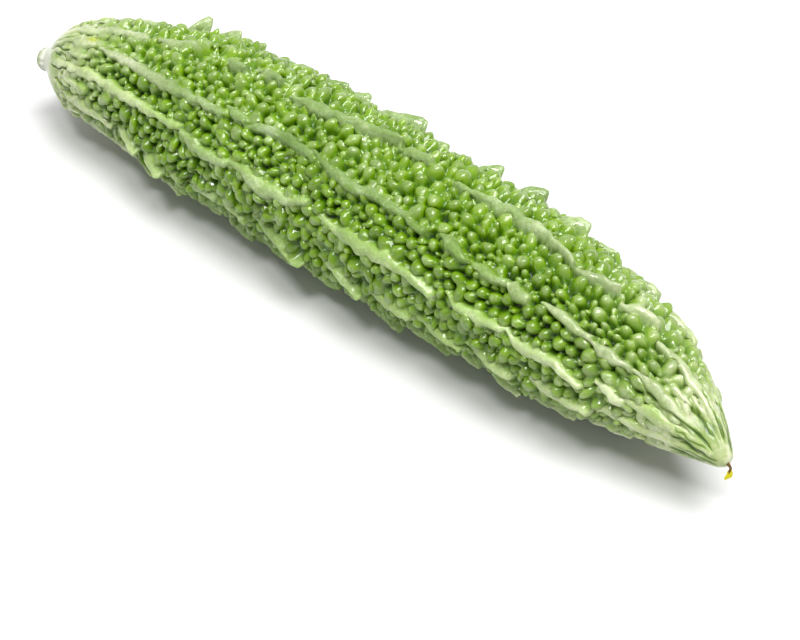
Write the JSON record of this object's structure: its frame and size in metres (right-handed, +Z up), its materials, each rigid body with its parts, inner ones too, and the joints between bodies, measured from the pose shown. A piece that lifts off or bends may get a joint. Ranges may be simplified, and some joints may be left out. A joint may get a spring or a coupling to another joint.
{
  "type": "bitter gourd",
  "caption": "Whole bitter gourd lying on its side: a long bowed fruit with broken lengthwise ridges, packed round warts, a cut stem stub and a dried flower remnant.",
  "frame": {"origin": "middle of the whole object's footprint, on the surface it rests on", "axes": "+X from the stem to the blossom end, +Z up, belly bowed towards +Y"},
  "size_m": [0.2872, 0.063, 0.0567],
  "materials": {
    "gourd_skin": "fresh waxy fruit skin: glossy yellow-green warts, paler grey-green ridges with a matte bloom",
    "stem_skin": "matte grey-green stalk with a dull cut end",
    "dried_flower": "dry papery tissue, brown thread and yellow fleck"
  },
  "bodies": {
    "root": {"fruit": "gourd_skin", "stem": "stem_skin", "withered_flower": "dried_flower"}
  },
  "joints": []
}
